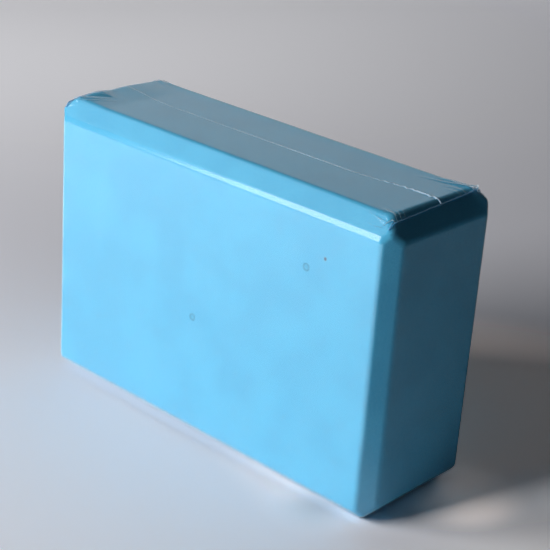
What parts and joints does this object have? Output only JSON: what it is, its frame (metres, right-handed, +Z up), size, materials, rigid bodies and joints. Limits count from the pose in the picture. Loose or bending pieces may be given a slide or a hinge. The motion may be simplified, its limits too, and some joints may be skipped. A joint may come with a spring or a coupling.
{
  "type": "foam exercise block",
  "caption": "Rectangular closed-cell foam block with bevelled, softened edges, sealed in clear glossy shrink film with a long seal and gathered corners.",
  "frame": {"origin": "middle of the footprint, on the surface the block stands on", "axes": "+X along the length, -Y out of the large front face, +Z up through the long narrow top face that carries the seals"},
  "size_m": [0.2286, 0.0764, 0.1549],
  "materials": {
    "foam": "fine closed-cell foam skin, matt",
    "film": "clear, high gloss"
  },
  "bodies": {
    "root": {"foam_block": "foam", "shrink_film": "film"}
  },
  "joints": []
}
